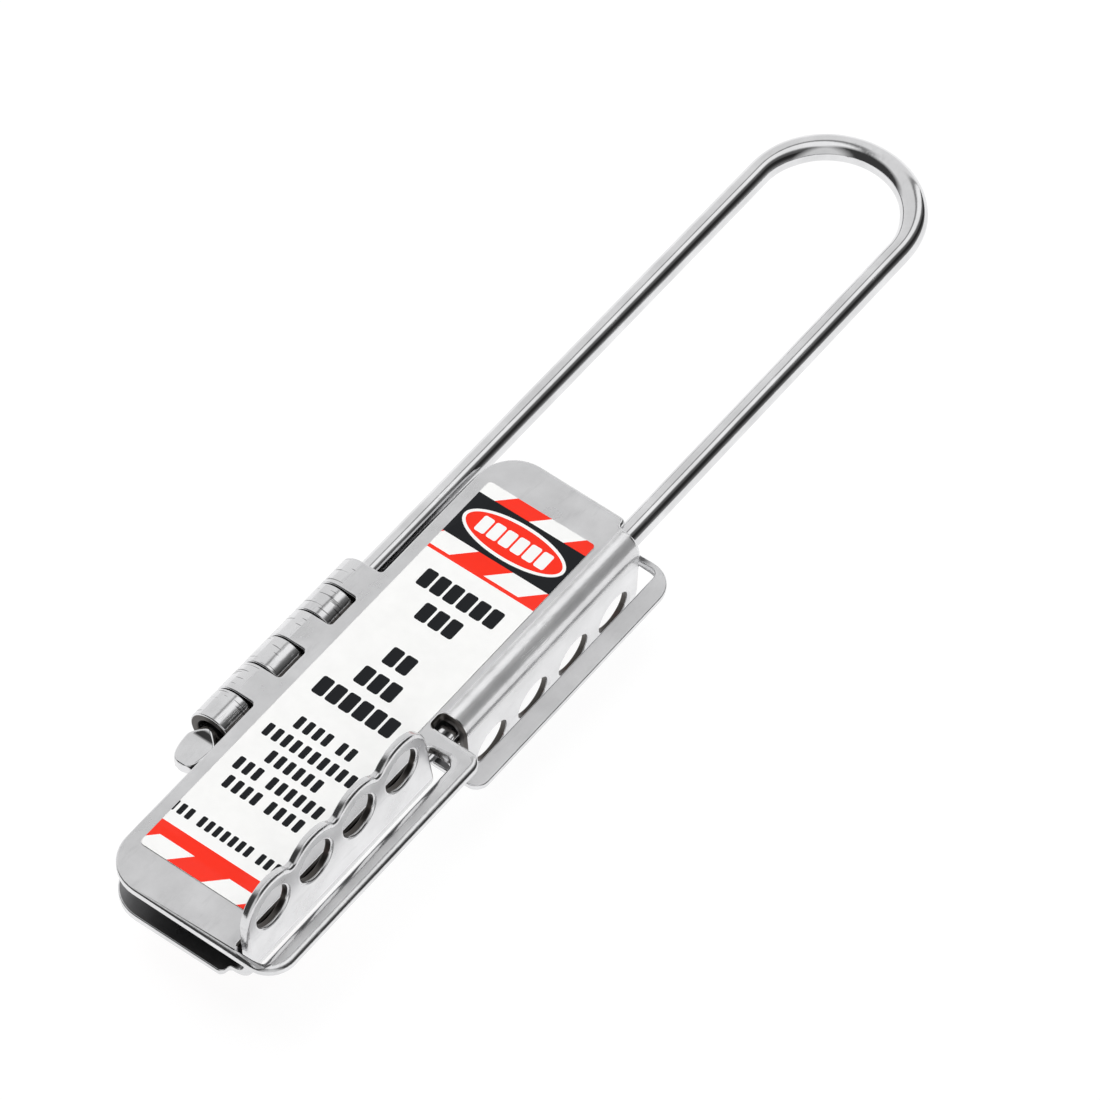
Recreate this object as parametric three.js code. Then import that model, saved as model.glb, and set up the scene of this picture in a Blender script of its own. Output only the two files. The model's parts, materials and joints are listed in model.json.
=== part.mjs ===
// Lockout hasp: two identical stamped steel leaves hinged on one leg of a U-shaped sliding shackle.
//
// Each leaf is made the way the real one is: a flat blank is cut, its edges are tumbled round, its three
// tongues are rolled into hinge knuckles and the padlock tab is folded down over a rounded shoulder.
// The second leaf is the first one turned half a turn about X, so each tab stands through the other's slot.
//
// Millimetres. The pieces are drawn with the hinge axis along Y, X from the hinge to the tabs, +Z out of the
// front leaf and +Y towards the bow of the shackle; the whole hasp is then moved so that its origin is the
// middle of the closed hasp.

import * as THREE from "three";
import { mergeVertices } from "three/addons/utils/BufferGeometryUtils.js";

const ROD_R = 2.5; // shackle rod, 5 mm stock
const SHEET = 1.8; // leaf sheet thickness
const EDGE = 0.5; // tumbled edge radius
const CHORDS = 2.2; // chords in a quarter turn of radius 1 mm; they grow with the square root of the radius
const WELD = 1e-4; // corners nearer than this are one

// Hinge
const KNUCKLE_R = 5.2; // outside of the rolled knuckle, and height of the leaf's outer face
const KNUCKLE_PITCH = 7.7;
const KNUCKLE_GAP = 0.3;
const ROLL_TURN = THREE.MathUtils.degToRad(300);
const ROLL_STEPS = 12;

// Leaf blank
const LEAF_HALF = 61.4; // half the leaf length
const PLATE_LEFT = 4.3; // edge of the plate between the knuckles
const PLATE_RIGHT = 33.5; // edge of the plate beyond the ends of the tab
const HINGE_CORNER_R = 8.5;
const FAR_CORNER_R = 1.4;
const FRAME_RIGHT = 46.0;
const FRAME_TOP = 0.9;
const FRAME_FOOT_R = 6.0;
const FRAME_HEAD_R = 3.0;
const SMALL_R = 0.8;

// Shoulder and padlock tab
const TAB_OUTER = 38.5; // how far the shoulder reaches out
const LEAN = 0.04; // radians by which the tab is folded past square, so its tip swings through the slot
const BEND_R = 4.6; // outside of the shoulder
const BEND_STEPS = 4;
const TAB_FOOT = 4.0; // end of the tab next to the middle of the leaf, where it leaves the plate
const TAB_START = 6.0; // the same end, level with the first hole
const HOLE_R = 4.5;
const HOLE_COUNT = 4;
const HOLE_PITCH = 12.6;
const HOLE_DROP = 10.5; // hole centres from the middle plane
const LOBE_R = 7.7; // scallop around each hole
const CUSP_R = 1.5; // fillet between two scallops
const TAB_END = TAB_START + 2 * LOBE_R + (HOLE_COUNT - 1) * HOLE_PITCH;

// Slot for the other leaf's tab
const SLOT_INNER = 35.8;
const SLOT_OUTER = 41.85;
const SLOT_START = 3.3; // end of the slot next to the middle of the leaf
const SLOT_MARGIN = 0.9; // slot beyond the far end of the tab
const SLOT_R = 1.6;

// Shackle
const LEG_SPACING = 33.9;
const BOW_Y = 149.5; // where the bow leaves the two legs
const BOW_SWELL = 0.12; // share by which the rod is wider in the bow
const BOW_EASE = 0.6; // radians of bend over which it widens
const SPADE_TOP = -23.5; // shoulder of the flattened end, against the last knuckle
const SPADE_LENGTH = 8.8;
const SPADE_HALF_WIDTH = 3.7; // wider than the bore of the knuckles
const SPADE_HALF_THICKNESS = 1.45;
const SPADE_SHOULDER = 0.3; // share of its length over which the round rod turns flat
const SPADE_BLUNTNESS = 3; // how near the tip its outline starts to close
const SPADE_CLOSING = 0.38;
const SPADE_THINNING = 0.3; // share of its thickness lost at the tip
const SPADE_TIP = 0.002; // keeps its last section from closing to a point
const SPADE_STEPS = 12;
const FREE_LEG_END = -30.0;
const TIP_R = 0.9;
const ROD_SIDES = 20;
const BOW_STEPS = 18;

// Labels
const LABEL_LEFT = 7.2;
const LABEL_WIDTH = 25.4;
const LABEL_HALF = 52.6;
const LABEL_THICK = 0.2;
const LABEL_CORNER_R = 0.8;

const MID = KNUCKLE_R - SHEET / 2; // radius of the roll and height of the plate, at mid-thickness
const BEND_MID_R = BEND_R - SHEET / 2;
const BEND_X = TAB_OUTER - BEND_R; // axis of the shoulder bend
const BEND_Z = KNUCKLE_R - BEND_R;
const FOLD = Math.PI / 2 + LEAN;
const BEND_LENGTH = BEND_MID_R * FOLD;
const BELOW_BEND = (HOLE_DROP + BEND_Z + BEND_MID_R * Math.cos(FOLD)) / Math.sin(FOLD);
const HOLE_S = BEND_X + BEND_LENGTH + BELOW_BEND; // hole centres measured along the flat blank
const FOLD_Y = (FRAME_TOP + TAB_FOOT) / 2; // the blank folds on the far side of this line only
const ROLL_END = -MID * ROLL_TURN; // tip of a tongue on the flat blank

// Points of an arc from angle a to angle b, both included.
function arc(cx, cy, r, a, b) {
  const quarters = Math.abs(b - a) / (Math.PI / 2);
  const steps = Math.max(2, Math.ceil(CHORDS * Math.sqrt(r) * quarters));
  return Array.from({ length: steps + 1 }, (_, i) => {
    const t = a + ((b - a) * i) / steps;
    return new THREE.Vector2(cx + r * Math.cos(t), cy + r * Math.sin(t));
  });
}

// Points that round the corner b of the path a-b-c with radius r.
function corner(a, b, c, r) {
  const u = a.clone().sub(b).normalize();
  const v = c.clone().sub(b).normalize();
  const half = Math.acos(u.dot(v)) / 2;
  const centre = b.clone().add(u.clone().add(v).normalize().multiplyScalar(r / Math.sin(half)));
  const start = b.clone().addScaledVector(u, r / Math.tan(half)).sub(centre).angle();
  let turn = b.clone().addScaledVector(v, r / Math.tan(half)).sub(centre).angle() - start;
  turn -= 2 * Math.PI * Math.round(turn / (2 * Math.PI));
  return arc(centre.x, centre.y, r, start, start + turn);
}

// A path through corners [x, y, radius], closed unless it is part of a longer outline.
function roundedPath(corners, closed = true) {
  const at = corners.map(([x, y]) => new THREE.Vector2(x, y));
  const n = corners.length;
  return corners.flatMap(([, , r], i) => {
    if (!r || (!closed && (i === 0 || i === n - 1))) return [at[i]];
    return corner(at[(i + n - 1) % n], at[i], at[(i + 1) % n], r);
  });
}

function rectangle(x0, y0, x1, y1, r) {
  return roundedPath([[x0, y0, r], [x1, y0, r], [x1, y1, r], [x0, y1, r]]);
}

function series(count, at) {
  return Array.from({ length: count }, (_, i) => at(i));
}

// Lines u = constant along which the flat blank is curved: the rolls, then the shoulder.
const ROLL_LINES = series(ROLL_STEPS, (i) => (ROLL_END * i) / ROLL_STEPS);
const BEND_LINES = series(BEND_STEPS + 1, (i) => BEND_X + (BEND_LENGTH * i) / BEND_STEPS);

const holeAt = (k) => TAB_START + LOBE_R + k * HOLE_PITCH;

// Outline of the flat blank: u runs along the sheet across the hinge, v along the hinge.
function blankShape() {
  const firstHole = new THREE.Vector2(HOLE_S - PLATE_RIGHT, holeAt(0) - TAB_FOOT);
  const flare = firstHole.angle() - Math.asin(LOBE_R / firstHole.length()); // slant of the tab's near edge
  const right = roundedPath([
    [PLATE_LEFT, 0, 0],
    [PLATE_LEFT, -LEAF_HALF, HINGE_CORNER_R],
    [FRAME_RIGHT, -LEAF_HALF, FRAME_FOOT_R],
    [FRAME_RIGHT, FRAME_TOP, FRAME_HEAD_R],
    [PLATE_RIGHT, FRAME_TOP, SMALL_R],
    [PLATE_RIGHT, TAB_FOOT, SMALL_R],
    [HOLE_S + LOBE_R * Math.sin(flare), holeAt(0) - LOBE_R * Math.cos(flare), 0],
  ], false).slice(1, -1);

  const cuspCentre = Math.sqrt((LOBE_R + CUSP_R) ** 2 - (HOLE_PITCH / 2) ** 2);
  const meet = Math.atan2(HOLE_PITCH / 2, cuspCentre);
  const lobes = [];
  for (let k = 0; k < HOLE_COUNT; k++) {
    const last = k === HOLE_COUNT - 1;
    const from = k === 0 ? flare - Math.PI / 2 : -meet;
    const to = last ? Math.PI / 2 : meet;
    lobes.push(...arc(HOLE_S, holeAt(k), LOBE_R, from, to));
    if (last) continue;
    const between = holeAt(k) + HOLE_PITCH / 2;
    const cusp = arc(HOLE_S + cuspCentre, between, CUSP_R, Math.PI + meet, Math.PI - meet);
    lobes.push(...cusp.slice(1, -1));
  }

  const tongues = [2, 0, -2].flatMap((k) => {
    const low = k * KNUCKLE_PITCH + KNUCKLE_GAP / 2;
    const high = (k + 1) * KNUCKLE_PITCH - KNUCKLE_GAP / 2;
    return [
      [PLATE_LEFT, high, SMALL_R],
      [ROLL_END, high, SMALL_R],
      [ROLL_END, low, SMALL_R],
      [PLATE_LEFT, low, SMALL_R],
    ];
  });
  const left = roundedPath([
    [HOLE_S, TAB_END, 0],
    [PLATE_RIGHT, TAB_END, SMALL_R],
    [PLATE_RIGHT, LEAF_HALF, FAR_CORNER_R],
    [PLATE_LEFT, LEAF_HALF, HINGE_CORNER_R],
    ...tongues,
    [PLATE_LEFT, -LEAF_HALF, 0],
  ], false).slice(1, -1);

  const shape = new THREE.Shape([...right, ...lobes, ...left]);
  const slot = rectangle(SLOT_INNER, -TAB_END - SLOT_MARGIN, SLOT_OUTER, -SLOT_START, SLOT_R);
  shape.holes.push(new THREE.Path(slot.reverse()));
  for (let k = 0; k < HOLE_COUNT; k++) {
    shape.holes.push(new THREE.Path(arc(HOLE_S, holeAt(k), HOLE_R, 0, -2 * Math.PI).slice(0, -1)));
  }
  return shape;
}

// Cuts every face the line u = at crosses, so the sheet can be curved there.
function score(faces, at, applies) {
  const onLine = (p) => Math.abs(p.x - at) < WELD / 100;
  const cross = (p, q) => {
    const [a, b] = p.x < q.x ? [p, q] : [q, p];
    return a.clone().lerp(b, (at - a.x) / (b.x - a.x)).setX(at);
  };
  return faces.flatMap((face) => {
    const beyond = face.some((p) => p.x > at && !onLine(p));
    const before = face.some((p) => p.x < at && !onLine(p));
    if (!beyond || !before || !face.every(applies)) return [face];
    const ring = face.flatMap((p, k) => {
      const q = face[(k + 1) % face.length];
      const splits = !onLine(p) && !onLine(q) && p.x < at !== q.x < at;
      return splits ? [p, cross(p, q)] : [p];
    });
    return [
      ring.filter((p) => p.x > at || onLine(p)),
      ring.filter((p) => p.x < at || onLine(p)),
    ];
  });
}

// Carries a point of the flat blank (u, v, w) to its place on the formed leaf.
function form({ x: u, y: v, z: w }) {
  if (u < 0) {
    const a = Math.PI / 2 - u / MID;
    return new THREE.Vector3((MID + w) * Math.cos(a), v, (MID + w) * Math.sin(a));
  }
  if (u <= BEND_X || v < FOLD_Y) return new THREE.Vector3(u, v, MID + w);
  const a = Math.min((u - BEND_X) / BEND_MID_R, FOLD);
  const r = BEND_MID_R + w;
  const past = Math.max(u - BEND_X - BEND_LENGTH, 0);
  const x = BEND_X + r * Math.sin(a) + past * Math.cos(a);
  return new THREE.Vector3(x, v, BEND_Z + r * Math.cos(a) - past * Math.sin(a));
}

// Welds a list of faces into one indexed, closed surface.
function weld(faces) {
  const points = faces.flatMap((face) => face.slice(2).flatMap((p, k) => [face[0], face[k + 1], p]));
  const welded = mergeVertices(new THREE.BufferGeometry().setFromPoints(points), WELD);
  const index = Array.from(welded.index.array);
  const kept = [];
  for (let i = 0; i < index.length; i += 3) {
    const [a, b, c] = index.slice(i, i + 3);
    if (a !== b && b !== c && c !== a) kept.push(a, b, c);
  }
  welded.setIndex(kept);
  welded.computeVertexNormals();
  return welded;
}

// The faces of a geometry, each as a list of its three corners.
function facesOf(geometry) {
  const { position } = (geometry.index ? geometry.toNonIndexed() : geometry).attributes;
  const point = (i) => new THREE.Vector3().fromBufferAttribute(position, i);
  return series(position.count / 3, (i) => [3 * i, 3 * i + 1, 3 * i + 2].map(point));
}

function leafGeometry() {
  const blank = new THREE.ExtrudeGeometry(blankShape(), {
    depth: SHEET - 2 * EDGE,
    bevelThickness: EDGE,
    bevelSize: EDGE,
    bevelOffset: -EDGE,
    bevelSegments: 1,
  });
  blank.translate(0, 0, EDGE - SHEET / 2);
  const flat = mergeVertices(blank.deleteAttribute("normal").deleteAttribute("uv"), WELD);
  let faces = facesOf(flat);
  for (const u of [...ROLL_LINES, BEND_X]) faces = score(faces, u, () => true);
  for (const u of BEND_LINES) faces = score(faces, u, (p) => p.y > FOLD_Y);
  return weld(faces.map((face) => face.map(form)));
}

// The shackle starts as a straight rod along Y with the hammered end at the bottom.
function shackleGeometry() {
  const bowR = LEG_SPACING / 2;
  const bowEnd = BOW_Y + Math.PI * bowR;
  const end = bowEnd + BOW_Y - FREE_LEG_END;
  const stations = [
    ...series(SPADE_STEPS + 1, (i) => SPADE_TOP - SPADE_LENGTH * (1 - i / SPADE_STEPS)),
    ...series(BOW_STEPS + 1, (i) => BOW_Y + (Math.PI * bowR * i) / BOW_STEPS),
  ];
  const profile = [
    new THREE.Vector2(0, stations[0]),
    ...stations.map((s) => new THREE.Vector2(ROD_R, s)),
    ...arc(ROD_R - TIP_R, end - TIP_R, TIP_R, 0, Math.PI / 2),
    new THREE.Vector2(0, end),
  ];

  // Hammered end: wider than the knuckle bore, flat on both faces and rounded at the tip.
  const hammer = (p) => {
    const t = (SPADE_TOP - p.y) / SPADE_LENGTH;
    if (t <= 0) return p;
    const onset = THREE.MathUtils.smoothstep(t, 0, SPADE_SHOULDER);
    const taper = Math.max(1 - t ** SPADE_BLUNTNESS, SPADE_TIP) ** SPADE_CLOSING;
    const width = THREE.MathUtils.lerp(ROD_R, SPADE_HALF_WIDTH * taper, onset);
    const flat = SPADE_HALF_THICKNESS * (1 - SPADE_THINNING * (1 - taper));
    const thick = THREE.MathUtils.lerp(ROD_R, flat, onset);
    const z = THREE.MathUtils.clamp(p.z, -thick, thick);
    return new THREE.Vector3((p.x / ROD_R) * width, p.y, z);
  };

  const bend = (p) => {
    if (p.y <= BOW_Y) return p;
    const a = Math.min((p.y - BOW_Y) / bowR, Math.PI);
    const past = Math.max(p.y - bowEnd, 0);
    const eased = THREE.MathUtils.smoothstep(Math.min(a, Math.PI - a), 0, BOW_EASE);
    const r = bowR - p.x * (1 + BOW_SWELL * eased);
    return new THREE.Vector3(bowR - r * Math.cos(a), BOW_Y + r * Math.sin(a) - past, p.z);
  };

  const rod = new THREE.LatheGeometry(profile, ROD_SIDES);
  return weld(facesOf(rod).map((face) => face.map((p) => bend(hammer(p)))));
}

function labelGeometry() {
  const outline = rectangle(LABEL_LEFT, -LABEL_HALF, LABEL_LEFT + LABEL_WIDTH, LABEL_HALF, LABEL_CORNER_R);
  const sheet = new THREE.Shape(outline);
  const label = new THREE.ExtrudeGeometry(sheet, { depth: LABEL_THICK, bevelEnabled: false });
  label.translate(0, 0, KNUCKLE_R);
  return weld(facesOf(label));
}

const steel = { color: 0xc4c5c6, roughness: 0.32, metalness: 1.0 };
const polished = { color: 0xd6d7d9, roughness: 0.12, metalness: 1.0 };
const vinyl = { color: 0xf4f4f2, roughness: 0.45, metalness: 0.0 };

function piece(name, geometry, finish) {
  const mesh = new THREE.Mesh(geometry, new THREE.MeshStandardMaterial(finish));
  mesh.name = name;
  return mesh;
}

const hasp = new THREE.Group();
hasp.name = "lockout_hasp";
hasp.position.set(
  -(FRAME_RIGHT - KNUCKLE_R) / 2,
  -(BOW_Y + LEG_SPACING / 2 + ROD_R - LEAF_HALF) / 2,
  0,
);
hasp.add(
  piece("front_leaf", leafGeometry(), steel),
  piece("back_leaf", leafGeometry().rotateX(Math.PI), steel),
  piece("shackle", shackleGeometry(), polished),
  piece("front_label", labelGeometry(), vinyl),
  piece("back_label", labelGeometry().rotateX(Math.PI), vinyl),
);

export default hasp;
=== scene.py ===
"""Looks for a sheet-steel lockout hasp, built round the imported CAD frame.

Lengths inside the shape functions are millimetres in the drawing frame: hinge axis along Y through the
origin, X from the hinge to the padlock tabs, Z out of the front leaf. `placed` carries them to the row frame
in metres.
"""

import json
import math

import bmesh
import bpy
from mathutils import Matrix, Vector
from mathutils.geometry import delaunay_2d_cdt, tessellate_polygon


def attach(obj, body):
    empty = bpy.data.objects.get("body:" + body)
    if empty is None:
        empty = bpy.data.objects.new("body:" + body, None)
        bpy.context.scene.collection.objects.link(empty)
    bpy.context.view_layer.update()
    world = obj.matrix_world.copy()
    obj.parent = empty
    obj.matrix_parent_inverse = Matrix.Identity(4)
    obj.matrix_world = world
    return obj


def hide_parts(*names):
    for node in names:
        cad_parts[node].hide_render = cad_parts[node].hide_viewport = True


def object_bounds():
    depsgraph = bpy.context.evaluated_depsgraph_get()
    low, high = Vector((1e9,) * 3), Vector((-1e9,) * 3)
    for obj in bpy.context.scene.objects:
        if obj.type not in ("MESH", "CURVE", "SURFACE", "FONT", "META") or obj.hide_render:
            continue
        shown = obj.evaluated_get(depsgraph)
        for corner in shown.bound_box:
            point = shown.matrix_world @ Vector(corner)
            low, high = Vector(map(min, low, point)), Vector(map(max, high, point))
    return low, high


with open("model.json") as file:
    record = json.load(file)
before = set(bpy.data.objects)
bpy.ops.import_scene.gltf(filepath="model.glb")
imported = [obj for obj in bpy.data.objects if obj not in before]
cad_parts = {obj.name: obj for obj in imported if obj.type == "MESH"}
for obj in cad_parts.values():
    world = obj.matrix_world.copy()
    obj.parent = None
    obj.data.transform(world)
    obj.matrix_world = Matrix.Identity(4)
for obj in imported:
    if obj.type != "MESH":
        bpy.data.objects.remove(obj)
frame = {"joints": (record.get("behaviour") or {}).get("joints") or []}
CAD_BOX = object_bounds()

MM = 0.001
HINGE = Vector(next(j for j in frame["joints"] if j["name"] == "leaf_hinge")["pos_m"])

# ---------------------------------------------------------------- sizes, as in the CAD source, in millimetres
ROD_R = 2.5
SHEET = 1.8
KNUCKLE_R = 5.2
KNUCKLE_PITCH = 7.7
KNUCKLE_GAP = 0.3
KNUCKLES = (2, 0, -2)  # places of this leaf's knuckles in the row of six, in pitches
ROLL_TURN = math.radians(300)
LEAF_HALF = 61.4
PLATE_LEFT = 4.3
PLATE_RIGHT = 33.5
HINGE_CORNER_R = 8.5
FRAME_RIGHT = 46.0
FRAME_TOP = 0.9
FRAME_FOOT_R = 6.0
FRAME_HEAD_R = 3.0
SMALL_R = 0.8
FAR_CORNER_R = 1.4
TAB_OUTER = 38.5
LEAN = 0.04
BEND_R = 4.6
TAB_FOOT = 4.0
TAB_START = 6.0
HOLE_R = 4.5
HOLE_COUNT = 4
HOLE_PITCH = 12.6
HOLE_DROP = 10.5
LOBE_R = 7.7
CUSP_R = 1.5
SLOT_INNER = 35.8
SLOT_OUTER = 41.85
SLOT_START = 3.3
SLOT_MARGIN = 0.9
SLOT_R = 1.6
LEG_SPACING = 33.9
BOW_Y = 149.5
BOW_SWELL = 0.12
BOW_EASE = 0.6
SPADE_TOP = -23.5
SPADE_LENGTH = 8.8
SPADE_HALF_WIDTH = 3.7
SPADE_HALF_THICKNESS = 1.45
SPADE_SHOULDER = 0.3
SPADE_BLUNTNESS = 3
SPADE_CLOSING = 0.38
SPADE_THINNING = 0.3
SPADE_TIP = 0.002
FREE_LEG_END = -30.0
TIP_R = 0.9
LABEL_LEFT = 7.2
LABEL_WIDTH = 25.4
LABEL_HALF = 52.6
LABEL_THICK = 0.2
LABEL_CORNER_R = 0.8

HINGE_EDGE = 0.35  # edge radius of the outer face at the knuckles
TAB_EDGE = 0.8  # and at the tab, the slot and the frame, which are tumbled rounder
EDGE_EASE = (6.0, 30.0)  # where one runs into the other
INNER_EDGE = 0.3  # edge radius of the inner face
BAR_SOFTNESS = 1.7  # how much wider than deep the rounding is on the slot's frame
BAR_EASE = (36.0, 41.0)  # where that sets in
HOLE_EDGE = 0.6  # edge radius of the padlock holes
NOTCH_REACH = 3.2  # how far the painted shade on the cut edge runs from the end of the fold
SHOULDER_SQUARENESS = 2.3  # the fold is a little squarer than an arc, whose squareness is 2

TOUCHING = 1e-4  # neighbouring points closer than this are one point
ON_PLANE = 1e-6  # a vertex this near a cutting plane lies on it

# fineness of the looks model
CORNER_STEPS = 10
LOBE_STEPS = 22
HOLE_STEPS = 56
EDGE_STEPS = 5
ROLL_STEPS = 44
BEND_STEPS = 24
ROD_SIDES = 56
BOW_STEPS = 96
SPADE_STEPS = 34
SPADE_CROWDING = 1.5  # the rings lie closer together towards the spade's root
TIP_STEPS = 6
ELLIPSE_STEPS = 64

TAB_END = TAB_START + 2 * LOBE_R + (HOLE_COUNT - 1) * HOLE_PITCH
MID = KNUCKLE_R - SHEET / 2
BEND_MID_R = BEND_R - SHEET / 2
BEND_X = TAB_OUTER - BEND_R
BEND_Z = KNUCKLE_R - BEND_R
FOLD = math.pi / 2 + LEAN
BEND_LENGTH = BEND_MID_R * FOLD
HOLE_S = BEND_X + BEND_LENGTH + (HOLE_DROP + BEND_Z + BEND_MID_R * math.cos(FOLD)) / math.sin(FOLD)
FOLD_Y = (FRAME_TOP + TAB_FOOT) / 2
ROLL_END = -MID * ROLL_TURN
HINGE_HALF = 3 * KNUCKLE_PITCH

OUTLINE, SLOT = 0, 1  # the blank's first two loops; the padlock holes follow
# material slots of a leaf: outer face, rounded edges, folded shoulder, inner face with painted shade inside
# the case, pierced walls dark with burnt oxide and painted shade, and rolled knuckles
FLAT, ROUNDED, FORMED, INSIDE, WALL_OXIDE_AND_SHADE, ROLLED = range(6)


# ---------------------------------------------------------------- outlines
def arc(cx, cy, r, a, b, steps):
    return [
        Vector((cx + r * math.cos(a + (b - a) * i / steps), cy + r * math.sin(a + (b - a) * i / steps)))
        for i in range(steps + 1)
    ]


def corner(a, b, c, r, steps):
    """Points that round the corner b of the path a-b-c."""
    u, v = (a - b).normalized(), (c - b).normalized()
    half = math.acos(max(-1.0, min(1.0, u.dot(v)))) / 2
    centre = b + (u + v).normalized() * (r / math.sin(half))
    start = b + u * (r / math.tan(half)) - centre
    end = b + v * (r / math.tan(half)) - centre
    first = math.atan2(start.y, start.x)
    turn = math.atan2(end.y, end.x) - first
    turn -= 2 * math.pi * round(turn / (2 * math.pi))
    return arc(centre.x, centre.y, r, first, first + turn, steps)


def rounded_path(corners, closed=True):
    """A path through corners (x, y, radius). An open path keeps its two end points sharp."""
    at = [Vector((x, y)) for x, y, _ in corners]
    n = len(at)
    points = []
    for i, (_, _, r) in enumerate(corners):
        if not r or (not closed and i in (0, n - 1)):
            points.append(at[i])
        else:
            points += corner(at[i - 1], at[i], at[(i + 1) % n], r, CORNER_STEPS)
    return points


def rectangle(x0, y0, x1, y1, r):
    return rounded_path([(x0, y0, r), (x1, y0, r), (x1, y1, r), (x0, y1, r)])


def blank_loops():
    """The flat blank: its outline, then the slot and the padlock holes, which run the other way round."""
    to_hole = Vector((HOLE_S - PLATE_RIGHT, TAB_START + LOBE_R - TAB_FOOT))
    flare = math.atan2(to_hole.y, to_hole.x) - math.asin(LOBE_R / to_hole.length)
    right = rounded_path([
        (PLATE_LEFT, 0, 0),
        (PLATE_LEFT, -LEAF_HALF, HINGE_CORNER_R),
        (FRAME_RIGHT, -LEAF_HALF, FRAME_FOOT_R),
        (FRAME_RIGHT, FRAME_TOP, FRAME_HEAD_R),
        (PLATE_RIGHT, FRAME_TOP, SMALL_R),
        (PLATE_RIGHT, TAB_FOOT, SMALL_R),
        (HOLE_S + LOBE_R * math.sin(flare), TAB_START + LOBE_R * (1 - math.cos(flare)), 0),
    ], closed=False)[1:-1]

    cusp = math.sqrt((LOBE_R + CUSP_R) ** 2 - (HOLE_PITCH / 2) ** 2)
    meet = math.atan2(HOLE_PITCH / 2, cusp)
    lobes = []
    for k in range(HOLE_COUNT):
        v = TAB_START + LOBE_R + k * HOLE_PITCH
        last = k == HOLE_COUNT - 1
        low = flare - math.pi / 2 if k == 0 else -meet
        high = math.pi / 2 if last else meet
        lobes += arc(HOLE_S, v, LOBE_R, low, high, LOBE_STEPS)
        if not last:
            lobes += arc(
                HOLE_S + cusp, v + HOLE_PITCH / 2, CUSP_R, math.pi + meet, math.pi - meet, CORNER_STEPS
            )[1:-1]

    tongues = []
    for k in KNUCKLES:
        low = k * KNUCKLE_PITCH + KNUCKLE_GAP / 2
        high = (k + 1) * KNUCKLE_PITCH - KNUCKLE_GAP / 2
        tongues += [
            (PLATE_LEFT, high, SMALL_R),
            (ROLL_END, high, SMALL_R),
            (ROLL_END, low, SMALL_R),
            (PLATE_LEFT, low, SMALL_R),
        ]
    left = rounded_path([
        (HOLE_S, TAB_END, 0),
        (PLATE_RIGHT, TAB_END, SMALL_R),
        (PLATE_RIGHT, LEAF_HALF, FAR_CORNER_R),
        (PLATE_LEFT, LEAF_HALF, HINGE_CORNER_R),
        *tongues,
        (PLATE_LEFT, -LEAF_HALF, 0),
    ], closed=False)[1:-1]

    slot = rectangle(SLOT_INNER, -TAB_END - SLOT_MARGIN, SLOT_OUTER, -SLOT_START, SLOT_R)
    holes = [
        arc(HOLE_S, TAB_START + LOBE_R + k * HOLE_PITCH, HOLE_R, 0, -2 * math.pi, HOLE_STEPS)[:-1]
        for k in range(HOLE_COUNT)
    ]
    return [distinct(loop) for loop in (right + lobes + left, slot[::-1], *holes)]


def distinct(loop):
    return [p for i, p in enumerate(loop) if (p - loop[i - 1]).length > TOUCHING]


def inward(loop):
    """For each point, the step that insets the loop by one millimetre into the material on its left."""
    steps = []
    for i, p in enumerate(loop):
        before = (p - loop[i - 1]).normalized()
        after = (loop[(i + 1) % len(loop)] - p).normalized()
        a, b = Vector((-before.y, before.x)), Vector((-after.y, after.x))
        steps.append((a + b) / (1 + a.dot(b)))
    return steps


# ---------------------------------------------------------------- leaves
def form(p):
    """Carries a point of the flat blank to its place on the rolled and folded leaf."""
    u, v, w = p
    if u < 0:
        a = math.pi / 2 - u / MID
        return Vector(((MID + w) * math.cos(a), v, (MID + w) * math.sin(a)))
    if u <= BEND_X or v < FOLD_Y:
        return Vector((u, v, MID + w))
    a = min((u - BEND_X) / BEND_MID_R, FOLD)
    n = SHOULDER_SQUARENESS
    r = (BEND_MID_R + w) / (abs(math.sin(a)) ** n + abs(math.cos(a)) ** n) ** (1 / n)
    past = max(u - BEND_X - BEND_LENGTH, 0)
    x = BEND_X + r * math.sin(a) + past * math.cos(a)
    return Vector((x, v, BEND_Z + r * math.cos(a) - past * math.sin(a)))


def score(bm, u, only=None):
    """Cuts the blank along a line across the tongues or the fold, so that it can curve there."""
    faces = [f for f in bm.faces if only is None or only(f.calc_center_median())]
    edges = {e for f in faces for e in f.edges}
    verts = {v for f in faces for v in f.verts}
    bmesh.ops.bisect_plane(
        bm, geom=[*verts, *edges, *faces], dist=ON_PLANE, plane_co=(u, 0, 0), plane_no=(1, 0, 0)
    )


def smooth(t, a, b):
    t = min(1.0, max(0.0, (t - a) / (b - a)))
    return t * t * (3 - 2 * t)


def edge_radius(number, face, at):
    """Depth of an edge's rounding at a point of a loop, and how many times wider than deep it is."""
    if face < 0:
        return INNER_EDGE, 1.0
    most = HOLE_EDGE if number > SLOT else TAB_EDGE
    wide = 1.0
    if at.y < FOLD_Y:
        wide += (BAR_SOFTNESS - 1) * smooth(at.x, *BAR_EASE)
    return HINGE_EDGE + (most - HINGE_EDGE) * smooth(at.x, *EDGE_EASE), wide


def edge_finish(number, level, at):
    """Material slot of a facet of an edge, by its loop, its level below the outer face and its place."""
    cut = level >= EDGE_STEPS
    at_hinge = at.x < PLATE_LEFT + SMALL_R and abs(at.y) < HINGE_HALF
    slot = number == SLOT and at.x < BAR_EASE[0]
    notch = number == OUTLINE and abs(at.y - FOLD_Y) < NOTCH_REACH
    notch = notch and PLATE_RIGHT - SMALL_R < at.x < FRAME_RIGHT - FRAME_HEAD_R
    # painted shade: the holes' walls (which also carry burnt oxide), the hinge windows' walls, the slot's rim
    # beside the tab and the cut edge at the fold are coloured dark for the shadow they sit in
    if (cut and (number > SLOT or at_hinge)) or (level > 0 and (slot or notch)):
        return WALL_OXIDE_AND_SHADE
    return ROUNDED


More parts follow.
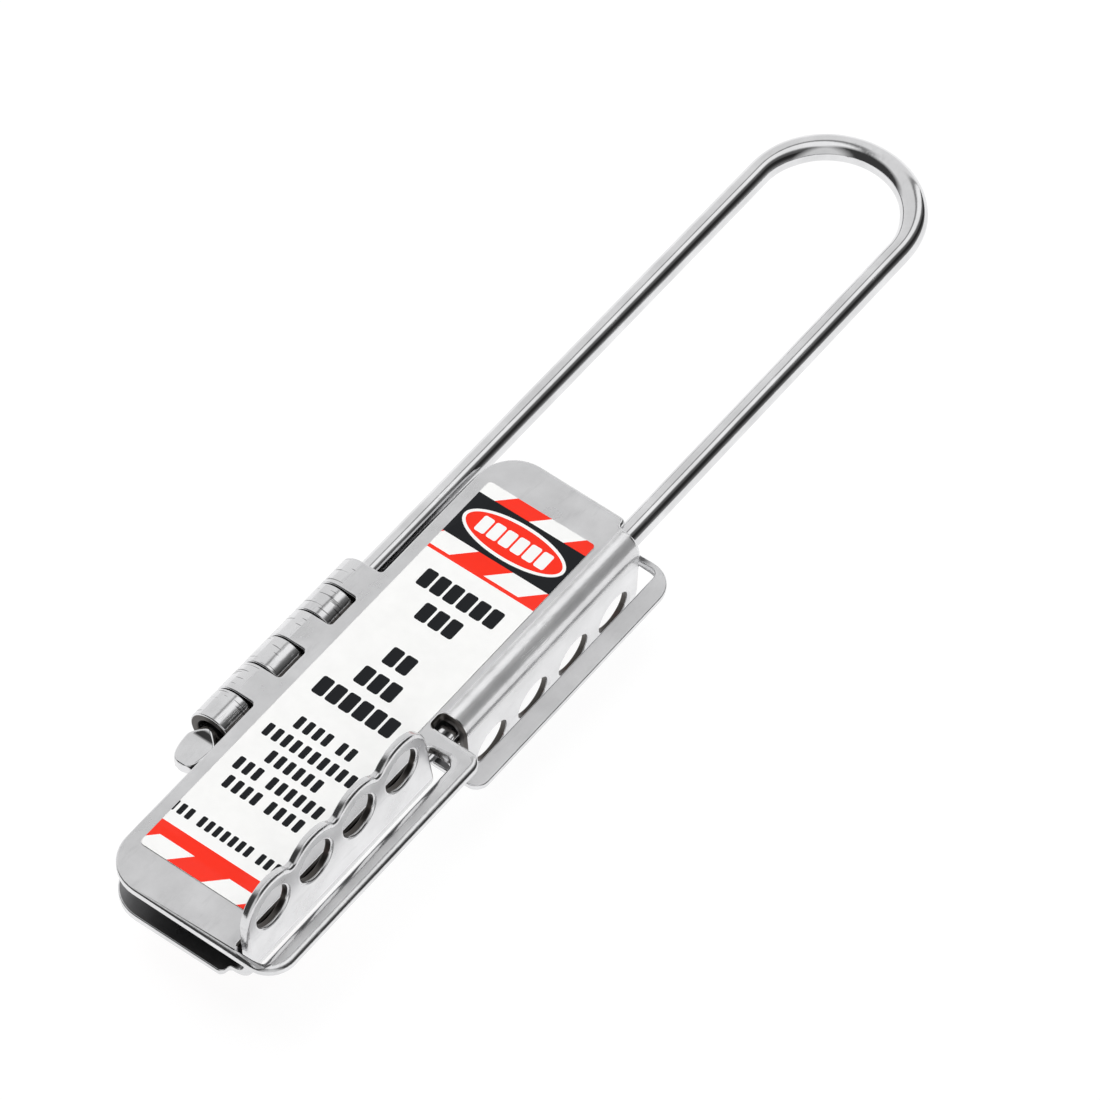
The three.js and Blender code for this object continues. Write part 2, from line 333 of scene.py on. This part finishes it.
def leaf_mesh():
    """A leaf: the blank with rounded edges, then scored across its rolls and its fold, then formed."""
    quarter = [math.pi / 2 * (1 - i / EDGE_STEPS) for i in range(EDGE_STEPS + 1)]
    upper = [(1 - math.cos(a), 1 - math.sin(a), 1) for a in quarter]
    profile = upper + [(inset, drop, -1) for inset, drop, _ in reversed(upper)]

    bm = bmesh.new()
    caps = ([], [])
    for number, loop in enumerate(blank_loops()):
        steps = inward(loop)
        rings = []
        for inset, drop, face in profile:
            ring = []
            for p, step in zip(loop, steps):
                r, wide = edge_radius(number, face, p)
                ring.append(bm.verts.new((*(p + step * r * wide * inset), face * (SHEET / 2 - r * drop))))
            rings.append(ring)
        for level, (high, low) in enumerate(zip(rings, rings[1:])):
            for i in range(len(loop)):
                j = (i + 1) % len(loop)
                f = bm.faces.new((high[i], low[i], low[j], high[j]))
                f.material_index = edge_finish(number, level, loop[i])
        caps[0].append(rings[0])
        caps[1].append(rings[-1])
    for rings, finish in zip(caps, (FLAT, INSIDE)):
        flat = [v for ring in rings for v in ring]
        for a, b, c in tessellate_polygon([[v.co for v in ring] for ring in rings]):
            bm.faces.new((flat[a], flat[b], flat[c])).material_index = finish
    bmesh.ops.recalc_face_normals(bm, faces=bm.faces)

    for i in range(ROLL_STEPS):
        score(bm, ROLL_END * i / ROLL_STEPS)
    score(bm, BEND_X)
    for i in range(1, BEND_STEPS + 1):
        score(bm, BEND_X + BEND_LENGTH * i / BEND_STEPS, lambda c: c.x > BEND_X and c.y > FOLD_Y)
    for f in bm.faces:
        c = f.calc_center_median()
        if f.material_index != FLAT:
            continue
        if c.x < 0:
            f.material_index = ROLLED
        elif BEND_X < c.x < BEND_X + BEND_LENGTH and c.y > FOLD_Y:
            f.material_index = FORMED
    for v in bm.verts:
        v.co = form(v.co)
    return bm


# ---------------------------------------------------------------- shackle
def hammer(p):
    """Flattens the end of the straight rod into a paddle that is wider than the knuckle bore."""
    t = (SPADE_TOP - p.y) / SPADE_LENGTH
    if t <= 0:
        return p
    onset = smooth(t, 0, SPADE_SHOULDER)
    taper = max(1 - t ** SPADE_BLUNTNESS, SPADE_TIP) ** SPADE_CLOSING
    width = ROD_R + (SPADE_HALF_WIDTH * taper - ROD_R) * onset
    flat = SPADE_HALF_THICKNESS * (1 - SPADE_THINNING * (1 - taper))
    thick = ROD_R + (flat - ROD_R) * onset
    return Vector((p.x / ROD_R * width, p.y, max(-thick, min(thick, p.z))))


def bend(p):
    """Bends the straight rod round the bow."""
    if p.y <= BOW_Y:
        return p
    radius = LEG_SPACING / 2
    a = min((p.y - BOW_Y) / radius, math.pi)
    past = max(p.y - BOW_Y - math.pi * radius, 0)
    r = radius - p.x * (1 + BOW_SWELL * smooth(min(a, math.pi - a), 0, BOW_EASE))
    return Vector((radius - r * math.cos(a), BOW_Y + r * math.sin(a) - past, p.z))


def shackle_mesh():
    """The rod as rings along its straight length (y, radius), hammered at one end and bent round the bow."""
    bow = math.pi * LEG_SPACING / 2
    end = BOW_Y + bow + BOW_Y - FREE_LEG_END
    stations = []
    for i in range(SPADE_STEPS + 1):
        stations.append((SPADE_TOP - SPADE_LENGTH * (1 - i / SPADE_STEPS) ** SPADE_CROWDING, ROD_R))
    stations += [(BOW_Y + bow * i / BOW_STEPS, ROD_R) for i in range(BOW_STEPS + 1)]
    stations += [(p.y, p.x) for p in arc(ROD_R - TIP_R, end - TIP_R, TIP_R, 0, math.pi / 2, TIP_STEPS)]
    bm = bmesh.new()
    rings = []
    for y, r in stations:
        ring = []
        for k in range(ROD_SIDES):
            a = 2 * math.pi * k / ROD_SIDES
            ring.append(bm.verts.new(bend(hammer(Vector((r * math.cos(a), y, r * math.sin(a)))))))
        rings.append(ring)
    for first, second in zip(rings, rings[1:]):
        for k in range(ROD_SIDES):
            j = (k + 1) % ROD_SIDES
            bm.faces.new((first[k], second[k], second[j], first[j]))
    bm.faces.new(rings[0])
    bm.faces.new(rings[-1])
    bmesh.ops.recalc_face_normals(bm, faces=bm.faces)
    return bm


# ---------------------------------------------------------------- labels
WHITE, RED, BLACK = 0, 1, 2
STRIPE_PERIOD = 16.4
STRIPE_PLACES = range(-3, 10)  # more than any band holds; those that miss it are left out
HEADER_PHASE = 6.9  # x + y at the start of a stripe of the header
FOOTER_PHASE = 13.1  # and of the footer, from its top
BAND_TOP = 3.2
BAND_END = 14.6
STRIPES_END = 18.6
HEADER_END = 19.45
FOOTER_HEIGHT = 6.7
FOOTER_BAND = 3.0
BADGE_HALF_LENGTH = 11.9
BADGE_HALF_HEIGHT = 4.7
BADGE_RIM = 0.7
BADGE_BLOCKS = 6
BADGE_PRINT = 0.86  # height of its blocks, in half heights of the badge
BIG_PRINT = 4.0  # rows taller than this are set bold
BOLD_WIDTH = 0.58  # these five are in block heights
PLAIN_WIDTH = 0.44
BLOCK_PITCH = 0.70
GROUP_SPACE = 0.42
BLOCK_CORNER = 0.12
# rows of plain blocks in place of words: distance below the label's top edge, block height, blocks in each
# group
ROWS = [
    (25.5, 4.5, (6,)),
    (32.1, 4.5, (3,)),
    (43.9, 4.5, (2,)),
    (50.5, 4.5, (3,)),
    (57.1, 4.5, (6,)),
    (66.3, 3.1, (4, 2)),
    (71.0, 3.1, (10,)),
    (75.6, 3.1, (6,)),
    (80.2, 3.1, (3, 6)),
    (84.7, 3.1, (4, 4)),
    (94.7, 2.6, (3, 7, 4)),
]
KEEP_INSIDE = 1  # output type of delaunay_2d_cdt: triangles inside the faces only
PRINT_EPSILON = 1e-5  # its tolerance


def clipped(polygon, nx, ny, limit):
    """The part of a polygon where nx * x + ny * y <= limit."""
    out = []
    for i, p in enumerate(polygon):
        q = polygon[(i + 1) % len(polygon)]
        dp, dq = nx * p.x + ny * p.y - limit, nx * q.x + ny * q.y - limit
        if dp <= 0:
            out.append(p)
        if dp * dq < 0:
            out.append(p.lerp(q, dp / (dp - dq)))
    return out


def box(x0, y0, x1, y1):
    return [Vector((x0, y0)), Vector((x1, y0)), Vector((x1, y1)), Vector((x0, y1))]


def stripes(y0, y1, first):
    """Red parallelograms at 45 degrees across the band y0..y1; first is x + y at the start of one of them."""
    shapes = []
    for k in STRIPE_PLACES:
        start = first + k * STRIPE_PERIOD
        shape = clipped(box(0, y0, LABEL_WIDTH, y1), 1, 1, start + STRIPE_PERIOD / 2)
        shape = clipped(shape, -1, -1, -start)
        if len(shape) > 2:
            shapes.append((shape, RED))
    return shapes


def ellipse(x, y, half_length, half_height):
    circle = arc(0, 0, 1, 0, 2 * math.pi, ELLIPSE_STEPS)[:-1]
    return [Vector((x + half_length * p.x, y + half_height * p.y)) for p in circle]


def blocks(y, high, groups, ink):
    """A centred row of upright blocks, in groups with a space between."""
    pitch, space = high * BLOCK_PITCH, high * GROUP_SPACE
    wide = high * (BOLD_WIDTH if high > BIG_PRINT else PLAIN_WIDTH)
    total = sum(groups) * pitch - (pitch - wide) + (len(groups) - 1) * space
    x = (LABEL_WIDTH - total) / 2
    row = []
    for count in groups:
        for _ in range(count):
            row.append((rectangle(x, y - high / 2, x + wide, y + high / 2, high * BLOCK_CORNER), ink))
            x += pitch
        x += space
    return row


def label_art():
    """The label's printed areas as (polygon, ink), later ones over earlier ones. y runs down from the top."""
    length = 2 * LABEL_HALF
    middle = (BAND_TOP + BAND_END) / 2
    centre = LABEL_WIDTH / 2
    art = [(rectangle(0, 0, LABEL_WIDTH, length, LABEL_CORNER_R), WHITE)]
    art += stripes(0, BAND_TOP, HEADER_PHASE)
    art += [(box(0, BAND_TOP, LABEL_WIDTH, BAND_END), BLACK)]
    art += stripes(BAND_END, STRIPES_END, HEADER_PHASE)
    art += [(box(0, STRIPES_END, LABEL_WIDTH, HEADER_END), RED)]
    for shrink, ink in ((0, WHITE), (BADGE_RIM, RED)):
        oval = ellipse(centre, middle, BADGE_HALF_LENGTH - shrink, BADGE_HALF_HEIGHT - shrink)
        art.append((oval, ink))
    art += blocks(middle, BADGE_HALF_HEIGHT * BADGE_PRINT, (BADGE_BLOCKS,), WHITE)
    for y, high, groups in ROWS:
        art += blocks(y, high, groups, BLACK)
    foot = length - FOOTER_HEIGHT
    art.append((box(0, foot, LABEL_WIDTH, foot + FOOTER_BAND), RED))
    art += stripes(foot + FOOTER_BAND, length, foot + FOOTER_PHASE)
    return art


def label_mesh():
    """The printed film: the art's areas cut into one flat sheet, then given the film's thickness."""
    art = label_art()
    points, faces = [], []
    for shape, _ in art:
        shape = distinct(shape)
        faces.append(list(range(len(points), len(points) + len(shape))))
        points += shape
    verts, _, tris, _, _, owners = delaunay_2d_cdt(points, [], faces, KEEP_INSIDE, PRINT_EPSILON)
    bm = bmesh.new()
    sheet = [bm.verts.new((LABEL_LEFT + p.x, LABEL_HALF - p.y, KNUCKLE_R + LABEL_THICK)) for p in verts]
    top = []
    for tri, owner in zip(tris, owners):
        if 0 in owner:
            f = bm.faces.new([sheet[i] for i in tri])
            f.material_index = art[max(owner)][1]
            top.append(f)
    bmesh.ops.delete(bm, geom=[v for v in bm.verts if not v.link_faces], context="VERTS")
    grown = bmesh.ops.extrude_face_region(bm, geom=top, use_keep_orig=True)["geom"]
    for item in grown:
        if isinstance(item, bmesh.types.BMVert):
            item.co.z -= LABEL_THICK
    printed = set(top)
    for f in bm.faces:
        if f not in printed:
            f.material_index = WHITE
    bmesh.ops.recalc_face_normals(bm, faces=bm.faces)
    return bm


# ---------------------------------------------------------------- material helpers
COLOUR_A, COLOUR_B, COLOUR_OUT = 6, 7, 2  # the Mix node's sockets for colours
SEED_DIRECTION = (1.0, 0.7, 1.3)  # a seed moves the noise this way
EVEN = (1, 1, 1)


def tree_of(owner):
    owner.use_nodes = True
    return owner.node_tree


def darker(colour, factor):
    return tuple(c * factor for c in colour)


def node(nt, kind, inputs=None, **settings):
    n = nt.nodes.new("ShaderNode" + kind)
    for key, value in settings.items():
        setattr(n, key, value)
    for key, value in (inputs or {}).items():
        if isinstance(value, bpy.types.NodeSocket):
            nt.links.new(value, n.inputs[key])
        else:
            n.inputs[key].default_value = value
    return n


def maths(nt, operation, a, b=0.0):
    return node(nt, "Math", {0: a, 1: b}, operation=operation).outputs[0]


def spread(nt, value, low, high, to_low, to_high):
    return node(
        nt, "MapRange",
        {"Value": value, "From Min": low, "From Max": high, "To Min": to_low, "To Max": to_high},
    ).outputs["Result"]


def noise(nt, coordinates, scale, stretch=EVEN, detail=4.0, seed=0.0, roughness=0.55):
    moved = tuple(seed * step for step in SEED_DIRECTION)
    mapped = node(nt, "Mapping", {"Vector": coordinates, "Location": moved, "Scale": stretch})
    return node(
        nt, "TexNoise",
        {"Vector": mapped.outputs[0], "Scale": scale, "Detail": detail, "Roughness": roughness},
    ).outputs["Fac"]


def mix_colour(nt, factor, a, b):
    n = node(nt, "Mix", {"Factor": factor}, data_type="RGBA")
    for key, value in ((COLOUR_A, a), (COLOUR_B, b)):
        if isinstance(value, bpy.types.NodeSocket):
            nt.links.new(value, n.inputs[key])
        else:
            n.inputs[key].default_value = (*value, 1)
    return n.outputs[COLOUR_OUT]


def bumped(nt, layers):
    """Bump nodes one after another, from (height, strength, distance in metres) layers."""
    normal = None
    for height, strength, distance in layers:
        inputs = {"Height": height, "Strength": strength, "Distance": distance}
        if normal is not None:
            inputs["Normal"] = normal
        normal = node(nt, "Bump", inputs).outputs[0]
    return normal


# steel: noise in cells per metre, and how it is stretched
GRAIN_SCALE = 2600
CLOUD_SCALE = 120
RUMPLE_SCALE = 950
RUB_SCALE = 420
SCRATCH_SCALE = 900
MARK_SCALE = 900
ALONG_SHEET = (1, 0.06, 1)
ACROSS_SHEET = (0.06, 1, 0.06)
RUMPLE_STRETCH = (1, 0.75, 1)
RUB_STRETCH = (1, 0.22, 1)
RUB_ROUGHNESS = 0.7
MARK_STRETCH = (0.2, 2.2, 0.2)
SCRATCH_SETS = ((0.5, 0.035), (2.1, 0.05))  # turn in radians and stretch of each set of scratches
# the span of the noise over which each effect sets in
CLOUD_SPAN = (0.32, 0.68)
ROUGH_SPAN = (0.3, 0.7)
RUB_SPAN = (0.55, 0.8)
MARK_SPAN = (0.64, 0.67)
SCRATCH_SPAN = (0.5, 0.68)
SCRATCH_WIDTH = 0.006
# and how far it goes
CLOUD_SHADE = 0.84
RUB_SHADE = 0.55
MARK_SHADE = 0.15
ROUGH_SWING = (0.85, 1.15)
SCRATCH_ROUGHENING = 0.12
FINE_DEPTH = 0.00002
RUMPLE_DEPTH = 0.00012


def scratches(nt, at):
    """Hairline scratches in two directions, each a thin slice of a long stretched noise."""
    lines = None
    for turn, stretch in SCRATCH_SETS:
        turned = node(nt, "Mapping", {"Vector": at, "Rotation": (0, 0, turn), "Scale": (1, stretch, 1)})
        streak = node(
            nt, "TexNoise", {"Vector": turned.outputs[0], "Scale": SCRATCH_SCALE, "Detail": 1.0}
        ).outputs["Fac"]
        off = maths(nt, "ABSOLUTE", maths(nt, "SUBTRACT", streak, 0.5))
        line = spread(nt, off, 0.0, SCRATCH_WIDTH, 1.0, 0.0)
        lines = line if lines is None else maths(nt, "MAXIMUM", lines, line)
    return lines


def steel(
    name, colour, rough, grain, peel, wear, seed, along=ALONG_SHEET, painted_cavity_shade=None, metal=1.0, marks=0.0
):
    """Worked steel: fine grain stretched by `along`, rumpled skin, hairline scratches and rubbed patches.

    Its colour for inside the closed case is painted shade; `marks` is the strength of dashes left by a tool.
    With `metal` under 1 it is paler, because the soft lights reach it too.
    """
    material = bpy.data.materials.new(name)
    nt = tree_of(material)
    shader = nt.nodes["Principled BSDF"]
    at = node(nt, "TexCoord").outputs["Object"]
    fine = noise(nt, at, GRAIN_SCALE, along, 5, seed)
    cloud = noise(nt, at, CLOUD_SCALE, EVEN, 5, seed + 3)
    skin = noise(nt, at, RUMPLE_SCALE, RUMPLE_STRETCH, 3, seed + 5)
    rub = noise(nt, at, RUB_SCALE, RUB_STRETCH, 6, seed + 11, RUB_ROUGHNESS)
    lines = maths(nt, "MULTIPLY", scratches(nt, at), spread(nt, cloud, *SCRATCH_SPAN, 0.0, 1.0))

    shade = mix_colour(nt, spread(nt, cloud, *CLOUD_SPAN, 0.0, 1.0), darker(colour, CLOUD_SHADE), colour)
    rubbed = maths(nt, "MULTIPLY", spread(nt, rub, *RUB_SPAN, 0.0, 1.0), wear)
    shade = mix_colour(nt, rubbed, shade, darker(colour, RUB_SHADE))
    if marks:
        dash = noise(nt, at, MARK_SCALE, MARK_STRETCH, 1, seed + 31)
        shade = mix_colour(nt, spread(nt, dash, *MARK_SPAN, 0.0, marks), shade, darker(colour, MARK_SHADE))
    # painted shade: the inner face turns darker inside the closed case, between the plates
    if painted_cavity_shade is not None:
        axes = node(nt, "SeparateXYZ", {0: at}).outputs
        across = spread(nt, axes[0], *(HINGE.x + MM * x for x in CAVITY_EDGE), 0.0, 1.0)
        above = spread(nt, maths(nt, "ABSOLUTE", axes[2]), *(MM * z for z in CAVITY_TOP), 0.0, 1.0)
        shade = mix_colour(nt, maths(nt, "MAXIMUM", across, above), painted_cavity_shade, shade)
    nt.links.new(shade, shader.inputs["Base Color"])
    shader.inputs["Metallic"].default_value = metal
    clouded = spread(nt, cloud, *ROUGH_SPAN, *(rough * swing for swing in ROUGH_SWING))
    roughness = maths(nt, "ADD", clouded, maths(nt, "MULTIPLY", lines, SCRATCH_ROUGHENING))
    nt.links.new(roughness, shader.inputs["Roughness"])
    grooves = maths(nt, "SUBTRACT", 1.0, lines)
    relief = [(fine, grain, FINE_DEPTH), (skin, peel, RUMPLE_DEPTH), (grooves, wear, FINE_DEPTH)]
    nt.links.new(bumped(nt, relief), shader.inputs["Normal"])
    return material


# vinyl, in the same terms
MOTTLE_SCALE = 300
PEEL_SCALE = 5200
MOTTLE_SPAN = (0.35, 0.65)
MOTTLE_SHADE = 0.97
VINYL_ROUGHNESS = (0.38, 0.5)
VINYL_SPECULAR = 0.22
LAMINATE_WEIGHT = 0.06
LAMINATE_ROUGHNESS = 0.22
MOTTLE_DEPTH = 0.0001
MOTTLE_RELIEF = 0.10
PEEL_RELIEF = 0.12


def vinyl(name, colour, seed):
    """A printed vinyl film under clear laminate: faint print mottle, slight orange peel, soft gloss."""
    material = bpy.data.materials.new(name)
    nt = tree_of(material)
    shader = nt.nodes["Principled BSDF"]
    at = node(nt, "TexCoord").outputs["Object"]
    mottle = noise(nt, at, MOTTLE_SCALE, detail=6, seed=seed)
    peel = noise(nt, at, PEEL_SCALE, detail=2, seed=seed + 2)
    shade = mix_colour(nt, spread(nt, mottle, *MOTTLE_SPAN, 0.0, 1.0), darker(colour, MOTTLE_SHADE), colour)
    nt.links.new(shade, shader.inputs["Base Color"])
    nt.links.new(spread(nt, mottle, *ROUGH_SPAN, *VINYL_ROUGHNESS), shader.inputs["Roughness"])
    shader.inputs["Specular IOR Level"].default_value = VINYL_SPECULAR
    shader.inputs["Coat Weight"].default_value = LAMINATE_WEIGHT
    shader.inputs["Coat Roughness"].default_value = LAMINATE_ROUGHNESS
    relief = [(mottle, MOTTLE_RELIEF, MOTTLE_DEPTH), (peel, PEEL_RELIEF, FINE_DEPTH)]
    nt.links.new(bumped(nt, relief), shader.inputs["Normal"])
    return material


# ---------------------------------------------------------------- making the pieces
LARGEST_FACE_WINS = 100  # the modifier's highest weight


def placed(name, bm, turn=0.0):
    """A smooth-shaded object from a bmesh in drawing millimetres, turned about X, in the row frame."""
    matrix = Matrix.Translation(HINGE) @ Matrix.Rotation(turn, 4, "X") @ Matrix.Scale(MM, 4)
    bmesh.ops.transform(bm, matrix=matrix, verts=bm.verts)
    mesh = bpy.data.meshes.new(name)
    bm.to_mesh(mesh)
    bm.free()
    mesh.polygons.foreach_set("use_smooth", [True] * len(mesh.polygons))
    obj = bpy.data.objects.new(name, mesh)
    bpy.context.scene.collection.objects.link(obj)
    weighted = obj.modifiers.new("flat faces stay flat", "WEIGHTED_NORMAL")
    weighted.mode = "FACE_AREA"
    weighted.weight = LARGEST_FACE_WINS
    return obj


def made(obj, materials, body, replaced):
    for material in materials:
        obj.data.materials.append(material)
    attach(obj, body)
    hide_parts(replaced)


SATIN = (0.84, 0.84, 0.85)
BRIGHT = (0.81, 0.81, 0.82)
OXIDE_AND_SHADE_COLOUR = (0.10, 0.093, 0.087)  # burnt oxide on the hole walls, and painted shade there and on the slot's rim, the hinge windows and the fold's cut edge
CASE_INSIDE_SHADE = (0.29, 0.29, 0.295)  # painted shade for the dark inside of the closed case
CAVITY_EDGE = (38.0, 40.0)  # the inner face carries the painted shade up to here across the leaf
CAVITY_TOP = (4.5, 6.0)  # and this far from the middle plane, and satin beyond
WHITE_FILM = (0.90, 0.90, 0.89)
RED_INK = (0.92, 0.022, 0.004)
BLACK_INK = (0.003, 0.004, 0.006)
for side, turn, seed in (("front", 0.0, 1.0), ("back", math.pi, 9.0)):
    leaf = f"{side}_leaf"
    finishes = [
        steel(f"{side} satin plate", SATIN, rough=0.30, grain=0.25, peel=0.12, wear=0.35, seed=seed),
        steel(f"{side} tumbled edge", BRIGHT, rough=0.20, grain=0.08, peel=0.25, wear=0.5, seed=seed + 20),
        steel(
            f"{side} folded shoulder", SATIN, rough=0.20, grain=0.45, peel=0.28, wear=0.5, seed=seed + 40,
            along=EVEN, metal=0.62,
        ),
        # inner face, with painted shade inside the closed case
        steel(
            f"{side} inner face", SATIN, rough=0.32, grain=0.25, peel=0.12, wear=0.35, seed=seed + 50,
            painted_cavity_shade=CASE_INSIDE_SHADE,
        ),
        # painted shade, with burnt oxide on the hole walls
        steel(
            f"{side} punched wall", OXIDE_AND_SHADE_COLOUR, rough=0.38, grain=0.30, peel=0.20, wear=0.35, seed=seed + 60,
            along=EVEN,
        ),
        steel(
            f"{side} rolled knuckle", BRIGHT, rough=0.15, grain=0.30, peel=0.15, wear=0.6, seed=seed + 70,
            along=ACROSS_SHEET, marks=0.7,
        ),
    ]
    made(placed(f"{side}_leaf_steel", leaf_mesh(), turn), finishes, leaf, leaf)
    inks = [
        vinyl(f"{side} white vinyl", WHITE_FILM, seed),
        vinyl(f"{side} red ink", RED_INK, seed + 1),
        vinyl(f"{side} black ink", BLACK_INK, seed + 2),
    ]
    made(placed(f"{side}_label_vinyl", label_mesh(), turn), inks, leaf, f"{side}_label")
made(
    placed("shackle_rod", shackle_mesh()),
    [steel("drawn rod", BRIGHT, rough=0.09, grain=0.12, peel=0.05, wear=0.25, seed=60.0)],
    "shackle", "shackle",
)

# ---------------------------------------------------------------- floor, light and camera
FLOOR_HALF = 4.0
PAPER_GLOW = 0.90  # a light table, which keeps the shadows faint
PAPER_BASE = (0.13, 0.13, 0.13)
PAPER_ROUGHNESS = 0.9
PAPER_SPECULAR = 0.1
floor_mesh = bpy.data.meshes.new("floor")
floor_bm = bmesh.new()
bmesh.ops.create_grid(floor_bm, x_segments=1, y_segments=1, size=FLOOR_HALF)
floor_bm.to_mesh(floor_mesh)
floor_bm.free()
floor = bpy.data.objects.new("floor", floor_mesh)
floor.location = (0, 0, CAD_BOX[0].z)
bpy.context.scene.collection.objects.link(floor)
paper = bpy.data.materials.new("pale paper")
paper_nodes = tree_of(paper)
paper_shader = paper_nodes.nodes["Principled BSDF"]
paper_shader.inputs["Base Color"].default_value = (*PAPER_BASE, 1)
paper_shader.inputs["Emission Color"].default_value = (1, 1, 1, 1)
paper_shader.inputs["Emission Strength"].default_value = PAPER_GLOW
paper_shader.inputs["Roughness"].default_value = PAPER_ROUGHNESS
paper_shader.inputs["Specular IOR Level"].default_value = PAPER_SPECULAR
floor_mesh.materials.append(paper)

# The studio as seen in the steel: brightness by the angle in degrees round the hinge axis, from +X (0) over
# the top (90) to -X (180). Negative angles are below the horizon, behind the floor. A white strip light hangs
# overhead, between a black card on the +X side and a thin grey seam.
STUDIO = [
    (-180, 0.90), (-2, 0.60),
    (3, 0.34), (9, 0.15), (18, 0.10), (27, 0.03), (44, 0.02), (52, 0.10), (62, 0.13), (68, 0.26),
    (76, 1.05), (97, 1.10), (101, 0.72),
    (104, 0.26), (108, 0.26),
    (112, 0.84), (150, 0.84), (180, 0.88),
]
STUDIO_FRONT = (0.05, 0.05, 0.05)  # dark end of the room behind the camera, to its left
STUDIO_SIDE = (0.75, 0.75, 0.75)  # pale wall to its right
FRONT_TO_SIDE = (0.05, 0.4)  # x of the view direction where one runs into the other
FRONT_TO_ROOM = (-0.42, -0.12)  # and y where they give way to the bands above
BACKDROP = (1.0, 1.0, 1.0)

world = bpy.data.worlds.new("studio")
bpy.context.scene.world = world
wt = tree_of(world)
background = wt.nodes["Background"]
direction = node(wt, "TexCoord").outputs["Generated"]
axes = node(wt, "SeparateXYZ", {0: direction}).outputs
angle = maths(wt, "ARCTAN2", axes[2], axes[0])
turned = spread(wt, angle, -math.pi, math.pi, 0.0, 1.0)
ramp = node(wt, "ValToRGB", {0: turned})
stops = ramp.color_ramp.elements
while len(stops) < len(STUDIO):
    stops.new(0.5)
for stop, (degrees, value) in zip(stops, STUDIO):
    stop.position = (degrees + 180) / 360
    stop.color = (value, value, value, 1)
wall = mix_colour(wt, spread(wt, axes[0], *FRONT_TO_SIDE, 0.0, 1.0), STUDIO_FRONT, STUDIO_SIDE)
room = mix_colour(wt, spread(wt, axes[1], *FRONT_TO_ROOM, 0.0, 1.0), wall, ramp.outputs[0])
seen = mix_colour(wt, node(wt, "LightPath").outputs["Is Camera Ray"], room, BACKDROP)
wt.links.new(seen, background.inputs["Color"])


def softbox(name, size, power, location):
    """A large soft light aimed at the origin. Bare steel doesn't mirror it, so it lights paper and label."""
    light = bpy.data.lights.new(name, "AREA")
    light.shape = "DISK"
    light.size = size
    light.energy = power
    obj = bpy.data.objects.new(name, light)
    obj.location = location
    obj.rotation_euler = (-Vector(location)).to_track_quat("-Z", "Y").to_euler()
    obj.visible_glossy = False
    bpy.context.scene.collection.objects.link(obj)


softbox("overhead softbox", size=1.6, power=15.5, location=(-0.3, 0.2, 1.5))
softbox("side softbox", size=1.0, power=3, location=(0.9, -0.9, 1.0))

# the photograph's viewpoint
AZIMUTH = math.radians(37.17)
ELEVATION = math.radians(53.09)
ROLL = math.radians(0.24)
DISTANCE = 1.3008
LENS = 223.6
NEAREST = 0.01
AIM = HINGE + Vector((23.90, 49.73, 0)) * MM
camera = bpy.data.objects.new("camera", bpy.data.cameras.new("camera"))
camera.data.lens = LENS
camera.data.clip_start = NEAREST
back = Vector((
    math.sin(AZIMUTH) * math.cos(ELEVATION), -math.cos(AZIMUTH) * math.cos(ELEVATION), math.sin(ELEVATION)
))
camera.location = AIM + back * DISTANCE
camera.rotation_mode = "QUATERNION"
camera.rotation_quaternion = (-back).to_track_quat("-Z", "Y") @ Matrix.Rotation(ROLL, 3, "Z").to_quaternion()
bpy.context.scene.collection.objects.link(camera)
bpy.context.scene.camera = camera
bpy.context.scene.view_settings.view_transform = "Standard"
